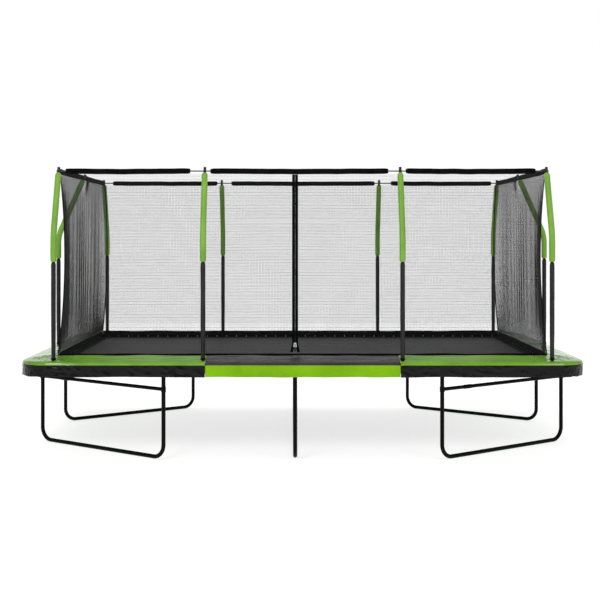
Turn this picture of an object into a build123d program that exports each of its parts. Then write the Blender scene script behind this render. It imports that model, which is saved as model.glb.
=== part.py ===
from build123d import *
import os
from math import hypot

# A rectangular trampoline with a safety enclosure, in millimetres.
# The origin is on the floor under the middle, +X runs along the long side and the door faces -Y.

# ---- Driving dimensions
PAD_X = 2618  # half length over the outer edge of the spring pad
PAD_Y = 1548  # half width over the outer edge of the spring pad
CORNER_R = 300  # plan radius of the pad's corners
RAIL_IN = 28  # pad's outer edge to the centre line of the frame rail
RAIL_Z = 868
TUBE_R = 19  # rails and legs are 38 mm tube
TUBE_WALL = 1.8
RUN_GAP = 1  # butt joint between two tubes
RAIL_JOINT_X = 80  # where the two halves of a long rail meet
SLEEVE_THICK = 2.5  # a joining sleeve's outside stands this far off the tube
SLEEVE_LENGTH = 130
MAT_X = 2270
MAT_Y = 1200
MAT_Z = 866
MAT_THICK = 3
RING_REACH = 25  # a V-ring's reach past the mat's edge
SPRING_PITCH = 114
SPRINGS_LONG = 20  # springs from the middle of a long side to its end
SPRINGS_SHORT = 10

LEG_LONG_X = 1272  # where a corner leg stands under the long rail
LEG_SHORT_Y = 559  # where a corner leg stands under the short rail
MID_LEG_X = -70
LEG_TOP_Z = 842
LEG_BEND_R = 120
FLOOR_BAR_STUB = 20  # straight length of an upright past its floor bend
BRACE_Z = 645
BRACE_R = 17
SOCKET_BOTTOM_Z = 772
SOCKET_THICK = 3
CLAMP_THICK = 4  # a brace clamp's outside stands this far off the leg
CLAMP_HEIGHT = 46

POLE_X = (915, 2285)  # poles along each long side, either side of the middle
POLE_IN = 68  # pad's outer edge to the centre line of a pole
POLE_BOTTOM_Z = 787
POLE_SPLIT_Z = 1805
POLE_BEND_Z = 2050
POLE_BEND_R = 400
LOWER_POLE_R = 16
UPPER_POLE_R = 12.5
POLE_WALL = 1.5
SLEEVE_R = 22
FOAM_R = 28
SLEEVE_BOTTOM_Z = 905
RING_TOP_X = 2282  # half length of the rectangle of top rods
RING_TOP_Y = 1260
ROD_Z = 2652
ROD_R = 6
CAP_R = 13.5
CAP_BELOW = 12  # a pole cap's length below the rod and above it
CAP_ABOVE = 38
BRACKET_WALL = 4.5
BRACKET_ARM = 26  # height of the arm from a pole's cup to the rail
BRACKET_WIDTH = 34

NET_X = 2296  # half length of the net where it meets the border band
NET_Y = 1230
NET_TOP_X = 2254  # half length of the net where it meets the hems
NET_TOP_Y = 1232
NET_THICK = 3
NET_CORNER_GAP = 12  # a net wall stops this far short of the next one
BORDER_BOTTOM_Z = 871
BORDER_TOP_Z = 940
FLAP_WIDTH = 48  # the border's flap lies over the mat's edge
FLAP_THICK = 1.5
HOOK_SIZE = (8, 2, 12)  # a net hook's width, depth and height
HEM_HEIGHT = 50
HEM_THICK = 18
HEM_WIDE_GAP = 136  # bare stretches of rod beside the poles
HEM_MIDDLE_GAP = 112
HEM_CORNER_GAP = 67
HEM_NARROW_GAP = 52
HEM_END_GAP = 34

DOOR_X = -70
TAPE_WIDTH = 27
TAPE_GAP = 1
TAPE_THICK = 3
TAPE_BOTTOM_Z = 952
TAPE_SPLIT_Z = 1030  # below this the two zip tapes part
TAPE_SPREAD = 20
SLIDER_Z = 1022
SLIDER_THICK = 5
PIN_R = 2  # pin that the pull hangs from

PAD_PROFILE = [  # distance in from the pad's outer edge, and height
    (0, 757),
    (0, 866),
    (4, 881.5),
    (13, 891),
    (32, 896),
    (80, 902),
    (200, 919),
    (285, 926),
    (311, 920),
    (311, 900),
    (285, 897),
    (70, 892.5),
    (30, 892),
    (14, 887.5),
    (6, 878),
    (3, 866),
    (3, 757),
]
PAD_JOINT_X = 890  # where the middle pads meet the corner pads
PAD_GAP = 3

CLEAR = 0.5  # between pieces that touch or nearly touch
SLIP = 0.3  # between a tube and the ring round it

# ---- Worked out from them
RAIL_X = PAD_X - RAIL_IN
RAIL_Y = PAD_Y - RAIL_IN
RAIL_R = CORNER_R - RAIL_IN
CORNER_ARM = RAIL_R + 160
MID_POLE_X, END_POLE_X = POLE_X
NET_TOP_Z = ROD_Z - HEM_HEIGHT / 2 - 6
NET_BOTTOM_Z = BORDER_TOP_Z + 1
UP = (0, 0, 1)

os.makedirs("parts", exist_ok=True)


def write(name, solids):
    """Join the solids of one piece of the trampoline and write them to its own file."""
    with BuildPart() as piece:
        add(solids)
    piece.part.label = name
    export_step(piece.part, f"parts/{name}.step")


def tube(points, radius, inner, bend=0):
    """A round tube along straight runs, with a tangent bend at each corner."""
    with BuildPart() as piece:
        with BuildLine() as path:
            if bend:
                FilletPolyline(*points, radius=bend)
            else:
                Polyline(*points)
        with BuildSketch(Plane(origin=path.line @ 0, z_dir=path.line % 0)):
            Circle(radius)
            if inner:
                Circle(inner, mode=Mode.SUBTRACT)
        sweep(path=path.line)
    return piece.part


def ring(centre, axis, radius, inner, length):
    """A short round sleeve centred on a point."""
    with BuildPart() as piece:
        with BuildSketch(Plane(origin=centre, z_dir=axis)):
            Circle(radius)
            if inner:
                Circle(inner, mode=Mode.SUBTRACT)
        extrude(amount=length / 2, both=True)
    return piece.part


def box(low, high):
    """A box between two opposite corners."""
    size = [b - a for a, b in zip(low, high)]
    middle = tuple((a + b) / 2 for a, b in zip(low, high))
    with BuildPart() as piece:
        with Locations(middle):
            Box(*size)
    return piece.part


def quarters(solid):
    """The solid and its three mirror images about the two middle planes."""
    with BuildPart() as piece:
        add(solid)
        mirror(about=Plane.YZ)
        mirror(about=Plane.XZ)
    return piece.part


# ---- Pole places: a plane at each pole's foot, its X pointing out to the frame rail
def pole_places():
    """Foot plane of every enclosure pole, and how far its top leans in."""
    places = {}
    foot_y = PAD_Y - POLE_IN
    foot_x = PAD_X - POLE_IN
    for side, row in ((-1, "front"), (1, "back")):
        for number, x in enumerate((-END_POLE_X, -MID_POLE_X, MID_POLE_X, END_POLE_X), 1):
            foot = Plane(origin=(x, side * foot_y, 0), x_dir=(0, side, 0), z_dir=UP)
            places[f"pole_{row}_{number}"] = (foot, foot_y - RING_TOP_Y)
    for side, row in ((-1, "left"), (1, "right")):
        foot = Plane(origin=(side * foot_x, 0, 0), x_dir=(side, 0, 0), z_dir=UP)
        places[f"pole_{row}"] = (foot, foot_x - RING_TOP_X)
    return places


POLES = pole_places()


def slant(reach):
    """Unit direction of a pole's leaning top, as reach inwards and rise."""
    rise = ROD_Z - POLE_BEND_Z
    length = hypot(reach, rise)
    return reach / length, rise / length


def pole_point(foot, inward, z):
    """A point beside a pole's foot, that far towards the mat and that high."""
    return foot.from_local_coords((-inward, 0, z))


# ---- Frame: straight rails, corner bends and the sleeves that join them
def frame_rails():
    """Two straight tubes along each long side and one along each short side."""
    end_x = RAIL_X - CORNER_ARM - RUN_GAP
    end_y = RAIL_Y - CORNER_ARM - RUN_GAP
    inner = TUBE_R - TUBE_WALL
    for side, row in ((-1, "front"), (1, "back")):
        y = side * RAIL_Y
        left = [(-end_x, y, RAIL_Z), (RAIL_JOINT_X - RUN_GAP, y, RAIL_Z)]
        right = [(RAIL_JOINT_X, y, RAIL_Z), (end_x, y, RAIL_Z)]
        write(f"rail_{row}_left", tube(left, TUBE_R, inner))
        write(f"rail_{row}_right", tube(right, TUBE_R, inner))
    for side, row in ((-1, "left"), (1, "right")):
        x = side * RAIL_X
        write(f"rail_{row}", tube([(x, -end_y, RAIL_Z), (x, end_y, RAIL_Z)], TUBE_R, inner))


def frame_corners():
    """A bent tube at each corner of the frame."""
    inner = TUBE_R - TUBE_WALL
    for sx, column in ((-1, "left"), (1, "right")):
        for sy, row in ((-1, "front"), (1, "back")):
            x = sx * RAIL_X
            y = sy * RAIL_Y
            points = [(x - sx * CORNER_ARM, y, RAIL_Z), (x, y, RAIL_Z), (x, y - sy * CORNER_ARM, RAIL_Z)]
            write(f"corner_{row}_{column}", tube(points, TUBE_R, inner, RAIL_R))


def rail_sleeves():
    """Joining sleeves over every butt joint of the frame."""
    outer = TUBE_R + SLEEVE_THICK
    inner = TUBE_R + SLIP
    x = RAIL_X - CORNER_ARM
    y = RAIL_Y - CORNER_ARM
    sleeves = [
        quarters(ring((x, RAIL_Y, RAIL_Z), (1, 0, 0), outer, inner, SLEEVE_LENGTH)),
        quarters(ring((RAIL_X, y, RAIL_Z), (0, 1, 0), outer, inner, SLEEVE_LENGTH)),
    ]
    for side in (-1, 1):
        joint = (RAIL_JOINT_X, side * RAIL_Y, RAIL_Z)
        sleeves.append(ring(joint, (1, 0, 0), outer, inner, SLEEVE_LENGTH))
    write("rail_sleeves", sleeves)


# ---- Legs: four U-legs across the corners and one under the middle
def u_leg(one, other):
    """Two uprights with a floor bend each, and the straight floor bar between them."""
    inner = TUBE_R - TUBE_WALL
    length = hypot(other[0] - one[0], other[1] - one[1])
    way = ((other[0] - one[0]) / length, (other[1] - one[1]) / length)
    reach = LEG_BEND_R + FLOOR_BAR_STUB
    pieces = []
    ends = []
    for (x, y), sign in ((one, 1), (other, -1)):
        stub = (x + sign * way[0] * reach, y + sign * way[1] * reach, TUBE_R)
        pieces.append(tube([(x, y, LEG_TOP_Z), (x, y, TUBE_R), stub], TUBE_R, inner, LEG_BEND_R))
        butt = reach + RUN_GAP
        ends.append((x + sign * way[0] * butt, y + sign * way[1] * butt, TUBE_R))
    pieces.append(tube(ends, TUBE_R, inner))
    return pieces


def legs():
    """A U-leg across each corner and one under the middle, from long side to long side."""
    for sx, column in ((-1, "left"), (1, "right")):
        for sy, row in ((-1, "front"), (1, "back")):
            long_side = (sx * LEG_LONG_X, sy * RAIL_Y)
            short_side = (sx * RAIL_X, sy * LEG_SHORT_Y)
            write(f"leg_{row}_{column}", u_leg(long_side, short_side))
    write("leg_middle", u_leg((MID_LEG_X, -RAIL_Y), (MID_LEG_X, RAIL_Y)))


def leg_feet():
    """Plan position and outward direction of every leg top."""
    feet = []
    for sx in (-1, 1):
        for sy in (-1, 1):
            feet.append(((sx * LEG_LONG_X, sy * RAIL_Y), (0, sy, 0)))
            feet.append(((sx * RAIL_X, sy * LEG_SHORT_Y), (sx, 0, 0)))
    for sy in (-1, 1):
        feet.append(((MID_LEG_X, sy * RAIL_Y), (0, sy, 0)))
    return feet


def leg_sockets():
    """A stub of larger tube under the rail at each leg, cut to saddle the rail."""
    sockets = []
    for (x, y), out in leg_feet():
        along = (out[1], out[0], 0)
        with BuildPart() as socket:
            with BuildSketch(Plane(origin=(x, y, SOCKET_BOTTOM_Z))):
                Circle(TUBE_R + SOCKET_THICK)
                Circle(TUBE_R + CLEAR, mode=Mode.SUBTRACT)
            extrude(amount=RAIL_Z - SOCKET_BOTTOM_Z)
            with BuildSketch(Plane(origin=(x, y, RAIL_Z), z_dir=along)):
                Circle(TUBE_R + CLEAR)
            extrude(amount=2 * TUBE_R, both=True, mode=Mode.SUBTRACT)
        sockets.append(socket.part)
    write("leg_sockets", sockets)


def braces():
    """A straight tube between the two uprights of each corner leg, with a clamp at each end."""
    clamp_r = TUBE_R + CLAMP_THICK
    joint_length = 90
    fittings = []
    for sx, column in ((-1, "left"), (1, "right")):
        for sy, row in ((-1, "front"), (1, "back")):
            one = (sx * LEG_LONG_X, sy * RAIL_Y)
            other = (sx * RAIL_X, sy * LEG_SHORT_Y)
            length = hypot(other[0] - one[0], other[1] - one[1])
            way = ((other[0] - one[0]) / length, (other[1] - one[1]) / length, 0)
            near = clamp_r + CLEAR
            ends = []
            for distance in (near, length - near):
                ends.append((one[0] + way[0] * distance, one[1] + way[1] * distance, BRACE_Z))
            write(f"brace_{row}_{column}", tube(ends, BRACE_R, BRACE_R - TUBE_WALL))
            # a sleeve over the brace's joint, nearer one of its ends
            joint = length * (0.8 if sx * sy > 0 else 0.2)
            centre = (one[0] + way[0] * joint, one[1] + way[1] * joint, BRACE_Z)
            fittings.append(ring(centre, way, BRACE_R + SLEEVE_THICK, BRACE_R + SLIP, joint_length))
            for x, y in (one, other):
                fittings.append(ring((x, y, BRACE_Z), UP, clamp_r, TUBE_R + SLIP, CLAMP_HEIGHT))
    write("brace_fittings", fittings)


# ---- Enclosure poles, their sleeves, brackets and caps
def poles():
    """Each pole is a straight foot tube and a thinner bent tube that slides into it."""
    overlap = 100
    for name, (foot, reach) in POLES.items():
        inward, rise = slant(reach)
        top = (ROD_Z - POLE_BEND_Z) / rise - CAP_BELOW
        bend = pole_point(foot, 0, POLE_BEND_Z)
        end = pole_point(foot, inward * top, POLE_BEND_Z + rise * top)
        lower = [pole_point(foot, 0, POLE_BOTTOM_Z), pole_point(foot, 0, POLE_SPLIT_Z)]
        upper = [pole_point(foot, 0, POLE_SPLIT_Z - overlap), bend, end]
        solids = [
            tube(lower, LOWER_POLE_R, LOWER_POLE_R - POLE_WALL),
            tube(upper, UPPER_POLE_R, UPPER_POLE_R - POLE_WALL, POLE_BEND_R),
        ]
        write(name, solids)


def pole_sleeves():
    """A foam sleeve round each pole's bent top and a fabric sleeve round its straight foot."""
    foam = []
    fabric = []
    seam = 2  # half the gap between the two sleeves
    for foot, reach in POLES.values():
        inward, rise = slant(reach)
        top = (ROD_Z - POLE_BEND_Z) / rise - CAP_BELOW - 2 * seam
        bend = pole_point(foot, 0, POLE_BEND_Z)
        end = pole_point(foot, inward * top, POLE_BEND_Z + rise * top)
        start = pole_point(foot, 0, POLE_SPLIT_Z + seam)
        foam.append(tube([start, bend, end], FOAM_R, UPPER_POLE_R + CLEAR, POLE_BEND_R))
        low = pole_point(foot, 0, SLEEVE_BOTTOM_Z)
        high = pole_point(foot, 0, POLE_SPLIT_Z - CLEAR)
        fabric.append(tube([low, high], SLEEVE_R, LOWER_POLE_R + CLEAR))
    write("foam_sleeves", foam)
    write("fabric_sleeves", fabric)


def pole_brackets():
    """A cup that holds each pole's foot, with an arm under the frame rail."""
    brackets = []
    cup_r = LOWER_POLE_R + BRACKET_WALL
    cup_height = 60
    floor_thick = 5
    arm_low = RAIL_Z - TUBE_R - CLEAR - BRACKET_ARM
    arm_start = cup_r - 4  # inside the cup's wall
    arm_end = POLE_IN - RAIL_IN + 14
    for foot, _ in POLES.values():
        floor = foot.offset(POLE_BOTTOM_Z - floor_thick)
        with BuildPart() as bracket:
            with BuildSketch(floor):
                Circle(cup_r)
            extrude(amount=cup_height)
            with BuildSketch(foot.offset(arm_low)):
                with Locations((arm_start, 0)):
                    Rectangle(arm_end - arm_start, BRACKET_WIDTH, align=(Align.MIN, Align.CENTER))
            extrude(amount=BRACKET_ARM)
            with BuildSketch(foot.offset(POLE_BOTTOM_Z - CLEAR)):
                Circle(LOWER_POLE_R + SLIP)
            extrude(amount=2 * cup_height, mode=Mode.SUBTRACT)
        brackets.append(bracket.part)
    write("pole_brackets", brackets)


def pole_caps():
    """A plastic cap on each pole's top, bored for the fibreglass rod that passes through it."""
    caps = []
    for foot, reach in POLES.values():
        inward, rise = slant(reach)
        middle = pole_point(foot, reach, ROD_Z)
        lean = foot.x_dir * -inward + foot.z_dir * rise
        with BuildPart() as cap:
            with BuildSketch(Plane(origin=middle, z_dir=lean).offset(CLEAR - CAP_BELOW)):
                Circle(CAP_R)
            extrude(amount=CAP_BELOW - CLEAR + CAP_ABOVE)
            with BuildSketch(Plane(origin=middle, z_dir=foot.y_dir)):
                Circle(ROD_R + CLEAR)
            extrude(amount=2 * CAP_R, both=True, mode=Mode.SUBTRACT)
        caps.append(cap.part)
    write("pole_caps", caps)


def top_rods():
    """Four fibreglass rods that spread the top of the net between the poles."""
    rods = []
    over = CAP_R + 6
    start_y = RING_TOP_Y - CAP_R - 3
    for side in (-1, 1):
        y = side * RING_TOP_Y
        rods.append(tube([(-END_POLE_X - over, y, ROD_Z), (END_POLE_X + over, y, ROD_Z)], ROD_R, 0))
        x = side * RING_TOP_X
        rods.append(tube([(x, -start_y, ROD_Z), (x, start_y, ROD_Z)], ROD_R, 0))
    write("top_rods", rods)


# ---- Net: top hem, four walls, border band and the zipped door
def hem(start, end):
    """A flat fabric sleeve round a stretch of rod."""
    way = Vector(*end) - Vector(*start)
    with BuildPart() as piece:
        plane = Plane(origin=start, x_dir=UP, z_dir=way)
        with BuildSketch(plane):
            SlotOverall(HEM_HEIGHT, HEM_THICK)
            Circle(ROD_R + CLEAR, mode=Mode.SUBTRACT)
        extrude(amount=way.length)
    return piece.part


def net_hems():
    """Hems along the rods, with a bare stretch of rod beside each pole."""
    mid = MID_POLE_X
    spans = [
        (-END_POLE_X + HEM_CORNER_GAP, -mid - HEM_WIDE_GAP),
        (-mid + HEM_NARROW_GAP, mid - HEM_MIDDLE_GAP),
        (mid + HEM_NARROW_GAP, END_POLE_X - 2 * HEM_NARROW_GAP),
    ]
    solids = []
    for low, high in spans:
        solids.append(hem((low, -RING_TOP_Y, ROD_Z), (high, -RING_TOP_Y, ROD_Z)))
        solids.append(hem((-high, RING_TOP_Y, ROD_Z), (-low, RING_TOP_Y, ROD_Z)))
    for side in (-1, 1):
        x = side * RING_TOP_X
        solids.append(hem((x, HEM_END_GAP - RING_TOP_Y, ROD_Z), (x, -HEM_END_GAP, ROD_Z)))
        solids.append(hem((x, HEM_END_GAP, ROD_Z), (x, RING_TOP_Y - HEM_NARROW_GAP, ROD_Z)))
    write("net_hems", solids)


def wall_between(corners, thick=NET_THICK):
    """A thin flat wall with the given outline."""
    outline = [Vector(*c) for c in corners]
    normal = (outline[1] - outline[0]).cross(outline[2] - outline[1]).normalized()
    with BuildPart() as piece:
        with BuildSketch(Plane(origin=outline[0], x_dir=outline[1] - outline[0], z_dir=normal)) as face:
            with BuildLine():
                Polyline(*[face.workplanes[0].to_local_coords(c) for c in outline], close=True)
            make_face()
        extrude(amount=thick / 2, both=True)
    return piece.part


def nets():
    """The back and end walls, and the front's two bays beside the door."""
    low_x = NET_X - NET_CORNER_GAP
    low_y = NET_Y - NET_CORNER_GAP
    top_x = NET_TOP_X - NET_CORNER_GAP
    top_y = NET_TOP_Y - NET_CORNER_GAP
    back = [
        (-low_x, NET_Y, NET_BOTTOM_Z),
        (low_x, NET_Y, NET_BOTTOM_Z),
        (top_x, NET_TOP_Y, NET_TOP_Z),
        (-top_x, NET_TOP_Y, NET_TOP_Z),
    ]
    write("net_back", wall_between(back))
    for side, column in ((-1, "left"), (1, "right")):
        end = [
            (side * NET_X, -low_y, NET_BOTTOM_Z),
            (side * NET_X, low_y, NET_BOTTOM_Z),
            (side * NET_TOP_X, top_y, NET_TOP_Z),
            (side * NET_TOP_X, -top_y, NET_TOP_Z),
        ]
        write(f"net_{column}", wall_between(end))
    bays = []
    for side in (-1, 1):
        near = side * (MID_POLE_X - 1)
        bay = [
            (near, -NET_Y, NET_BOTTOM_Z),
            (side * low_x, -NET_Y, NET_BOTTOM_Z),
            (side * top_x, -NET_TOP_Y, NET_TOP_Z),
            (near, -NET_TOP_Y, NET_TOP_Z),
        ]
        bays.append(wall_between(bay))
    write("net_front", bays)


def net_border():
    """A band of solid fabric round the foot of the net, with a flap over the mat's edge."""
    half = NET_THICK / 2
    corner = 5
    bands = []
    for side in (-1, 1):
        y = side * NET_Y
        x = side * NET_X
        long_low = (-NET_X + corner, y - half, BORDER_BOTTOM_Z)
        bands.append(box(long_low, (NET_X - corner, y + half, BORDER_TOP_Z)))
        short_low = (x - half, -NET_Y + corner, BORDER_BOTTOM_Z)
        bands.append(box(short_low, (x + half, NET_Y - corner, BORDER_TOP_Z)))
    outer_x = NET_X - half - CLEAR
    outer_y = NET_Y - half - CLEAR
    with BuildPart() as flap:
        with BuildSketch(Plane.XY.offset(BORDER_BOTTOM_Z)):
            Rectangle(2 * outer_x, 2 * outer_y)
            Rectangle(2 * (outer_x - FLAP_WIDTH), 2 * (outer_y - FLAP_WIDTH), mode=Mode.SUBTRACT)
        extrude(amount=FLAP_THICK)
    bands.append(flap.part)
    write("net_border", bands)


def net_hooks():
    """A flat metal hook above each V-ring, which ties the border's foot to it."""
    wide, deep, high = HOOK_SIZE
    foot_z = BORDER_BOTTOM_Z + FLAP_THICK + CLEAR - MAT_Z
    inset = NET_Y - NET_THICK / 2 - CLEAR - deep / 2
    reach = inset - MAT_Y
    hooks = []
    for place in spring_places():
        shift = reach if abs(place.origin.Y) == MAT_Y else reach + NET_X - MAT_X - NET_Y + MAT_Y
        with BuildPart() as hook:
            with BuildSketch(place.offset(foot_z)):
                with Locations((shift, 0)):
                    Rectangle(deep, wide)
            extrude(amount=high)
        hooks.append(hook.part)
    write("net_hooks", hooks)


def door():
    """The net on each side of the zip, and the zip's two tapes, hung from the top hem."""
    lean = (NET_Y - NET_TOP_Y) / (NET_TOP_Z - NET_BOTTOM_Z)
    split_y = -NET_Y + lean * (TAPE_SPLIT_Z - NET_BOTTOM_Z)
    foot_y = -NET_Y + lean * (TAPE_BOTTOM_Z - NET_BOTTOM_Z)
    flap_thick = 2
    beside = 5  # between a tape and its net
    for side, column in ((-1, "left"), (1, "right")):
        inner = DOOR_X + side * TAPE_GAP / 2
        outer = inner + side * TAPE_WIDTH
        near = outer + side * beside
        pole = side * (MID_POLE_X - 3)
        flap = [
            (near + side * TAPE_SPREAD, -NET_Y, NET_BOTTOM_Z),
            (pole, -NET_Y, NET_BOTTOM_Z),
            (pole, -NET_TOP_Y, NET_TOP_Z),
            (near, -NET_TOP_Y, NET_TOP_Z),
            (near, split_y, TAPE_SPLIT_Z),
        ]
        write(f"door_{column}", wall_between(flap, flap_thick))
        tape = [
            (inner + side * TAPE_SPREAD, foot_y, TAPE_BOTTOM_Z),
            (outer + side * TAPE_SPREAD, foot_y, TAPE_BOTTOM_Z),
            (outer, split_y, TAPE_SPLIT_Z),
            (outer, -NET_TOP_Y, NET_TOP_Z),
            (inner, -NET_TOP_Y, NET_TOP_Z),
            (inner, split_y, TAPE_SPLIT_Z),
        ]
        write(f"zip_tape_{column}", wall_between(tape, TAPE_THICK))


def zip_slider():
    """The slider rides on the front of the closed tapes, with a lug bored for the pull's pin."""
    back = -NET_Y - TAPE_THICK / 2 - 2.2
    lug = (5, 9, 14)
    pin_y = back - 9.5
    pin_z = SLIDER_Z + 5
    with BuildPart() as slider:
        with BuildSketch(Plane(origin=(DOOR_X, back, SLIDER_Z), x_dir=(1, 0, 0), z_dir=(0, -1, 0))) as face:
            Trapezoid(34, 40, 80)
            fillet(face.vertices(), 3)
        extrude(amount=SLIDER_THICK)
        with Locations((DOOR_X, pin_y + 0.5, pin_z - 1)):
            Box(*lug)
        with Locations(Plane(origin=(DOOR_X, pin_y, pin_z), z_dir=(1, 0, 0))):
            Cylinder(PIN_R + 0.4, 2 * lug[0], mode=Mode.SUBTRACT)
    write("zip_slider", slider.part)
    zip_pull(pin_y, pin_z)


def zip_pull(pin_y, pin_z):
    """A pin through the slider's lug, two side bars and a grip."""
    half_width = 8
    bar = (4, 4, 30)
    grip = (20, 4, 36)
    with BuildPart() as pull:
        with BuildSketch(Plane(origin=(DOOR_X, pin_y, pin_z), z_dir=(1, 0, 0))):
            Circle(PIN_R)
        extrude(amount=half_width, both=True)
        for side in (-1, 1):
            with Locations((DOOR_X + side * (half_width - bar[0] / 2), pin_y, pin_z - bar[2] / 2 + 1)):
                Box(*bar)
        with Locations((DOOR_X, pin_y, pin_z - 45)):
            Box(*grip)
    write("zip_pull", pull.part)


# ---- Bounce: mat, V-rings and springs
def mat():
    """The bouncing mat, one sheet with rounded corners."""
    corner = 30
    with BuildPart() as piece:
        with BuildSketch(Plane.XY.offset(MAT_Z - MAT_THICK / 2)) as outline:
            Rectangle(2 * MAT_X, 2 * MAT_Y)
            fillet(outline.vertices(), corner)
        extrude(amount=MAT_THICK)
    write("mat", piece.part)


def spring_places():
    """Plane at the mat's edge for every spring, its X pointing out to the rail."""
    places = []
    for side in (-1, 1):
        for number in range(-SPRINGS_LONG, SPRINGS_LONG):
            x = (number + 0.5) * SPRING_PITCH
            places.append(Plane(origin=(x, side * MAT_Y, MAT_Z), x_dir=(0, side, 0), z_dir=UP))
        for number in range(-SPRINGS_SHORT, SPRINGS_SHORT):
            y = (number + 0.5) * SPRING_PITCH
            places.append(Plane(origin=(side * MAT_X, y, MAT_Z), x_dir=(side, 0, 0), z_dir=UP))
    return places


def v_rings():
    """A flat triangle of wire at the mat's edge for each spring."""
    rings = []
    half_width = 14
    start = 1  # clear of the mat's edge
    for place in spring_places():
        with BuildPart() as one:
            with BuildSketch(place.offset(-MAT_THICK / 2)):
                with BuildLine():
                    Polyline((start, -half_width), (start, half_width), (RING_REACH, 0), close=True)
                make_face()
            extrude(amount=MAT_THICK)
        rings.append(one.part)
    write("v_rings", rings)


def springs():
    """Each extension spring as its outer shape: a body with a thin hook at each end."""
    start = RING_REACH + CLEAR
    end = RAIL_Y - MAT_Y - TUBE_R - SLEEVE_THICK - 2 * CLEAR
    hook = 34
    wire_r = 2
    coil_r = 8
    spans = [(start, start + hook, wire_r), (start + hook, end - hook, coil_r), (end - hook, end, wire_r)]
    solids = []
    for place in spring_places():
        along = place.x_dir
        parts = []
        for low, high, radius in spans:
            centre = place.from_local_coords(((low + high) / 2, 0, 0))
            parts.append(ring(centre, along, radius, 0, high - low))
        with BuildPart() as one:
            add(parts)
        solids.append(one.part)
    write("springs", solids)


# ---- Pads: each covers the springs and hangs a skirt outside the rail
def pad_profile(limit):
    """The pad's section on the working plane, cut off at a distance in from its outer edge."""
    width = 400
    height = 2000
    Polygon(*PAD_PROFILE, align=None)
    with Locations((limit, 0)):
        Rectangle(width, height, align=(Align.MIN, Align.CENTER), mode=Mode.SUBTRACT)


def pole_holes():
    """Upright cores that leave a hole in the pad for each pole."""
    cores = []
    height = 70
    for foot, _ in POLES.values():
        centre = foot.from_local_coords((0, 0, RAIL_Z + TUBE_R + 10))
        cores.append(ring(centre, UP, LOWER_POLE_R + 5, 0, height))
    return cores


def pads():
    """Six pads: one in the middle of each long side and one round each corner."""
    holes = pole_holes()
    whole = CORNER_R + 100  # past the profile's inner edge
    inner_x = PAD_X - CORNER_R
    inner_y = PAD_Y - CORNER_R
    for side, row in ((-1, "front"), (1, "back")):
        with BuildPart() as middle:
            edge = Plane(origin=(side * PAD_JOINT_X, side * PAD_Y, 0), x_dir=(0, -side, 0), z_dir=(-side, 0, 0))
            with BuildSketch(edge):
                pad_profile(whole)
            extrude(amount=2 * PAD_JOINT_X)
            add(holes, mode=Mode.SUBTRACT)
        write(f"pad_{row}_middle", middle.part)
    for sx, column in ((-1, "left"), (1, "right")):
        for sy, row in ((-1, "front"), (1, "back")):
            long_edge = Plane(
                origin=(sx * inner_x, sy * PAD_Y, 0), x_dir=(0, -sy, 0), z_dir=(-sy, 0, 0)
            )
            short_edge = Plane(
                origin=(sx * PAD_X, sy * inner_y, 0), x_dir=(-sx, 0, 0), z_dir=(0, sx, 0)
            )
            with BuildPart() as corner:
                with BuildSketch(long_edge):
                    pad_profile(whole)
                extrude(amount=sx * sy * (inner_x - PAD_JOINT_X - PAD_GAP))
                with BuildSketch(short_edge):
                    pad_profile(whole)
                extrude(amount=-sx * sy * (inner_y - PAD_GAP / 2))
                with BuildSketch(long_edge):
                    pad_profile(CORNER_R)
                centre = (sx * inner_x, sy * inner_y, 0)
                revolve(axis=Axis(centre, (0, 0, -sx * sy)), revolution_arc=90)
                add(holes, mode=Mode.SUBTRACT)
            write(f"pad_{row}_{column}", corner.part)


# ---- Bolts
def bolts():
    """A hexagon bolt head on the inner side of each leg socket and under each pole bracket's arm."""
    heads = []
    up = 28  # from a socket's foot to its bolt
    arm_low = RAIL_Z - TUBE_R - CLEAR - BRACKET_ARM
    for (x, y), out in leg_feet():
        start = Vector(x, y, SOCKET_BOTTOM_Z + up) - Vector(*out) * (TUBE_R + SOCKET_THICK + CLEAR)
        heads.append(bolt_head(start, Vector(*out) * -1))
    for foot, _ in POLES.values():
        start = foot.from_local_coords((POLE_IN - RAIL_IN, 0, arm_low - CLEAR))
        heads.append(bolt_head(start, (0, 0, -1)))
    write("bolts", heads)


def bolt_head(start, way):
    """A hexagon head 13 mm across its flats, standing on a face."""
    with BuildPart() as head:
        with BuildSketch(Plane(origin=start, z_dir=way)):
            RegularPolygon(6.5, 6, major_radius=False)
        extrude(amount=5.3)
    return head.part


frame_rails()
frame_corners()
rail_sleeves()
legs()
leg_sockets()
braces()
poles()
pole_sleeves()
pole_brackets()
pole_caps()
top_rods()
net_hems()
nets()
net_border()
net_hooks()
door()
zip_slider()
mat()
v_rings()
springs()
pads()
bolts()
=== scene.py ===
import math

import bpy
import numpy as np
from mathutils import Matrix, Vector, noise


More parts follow.
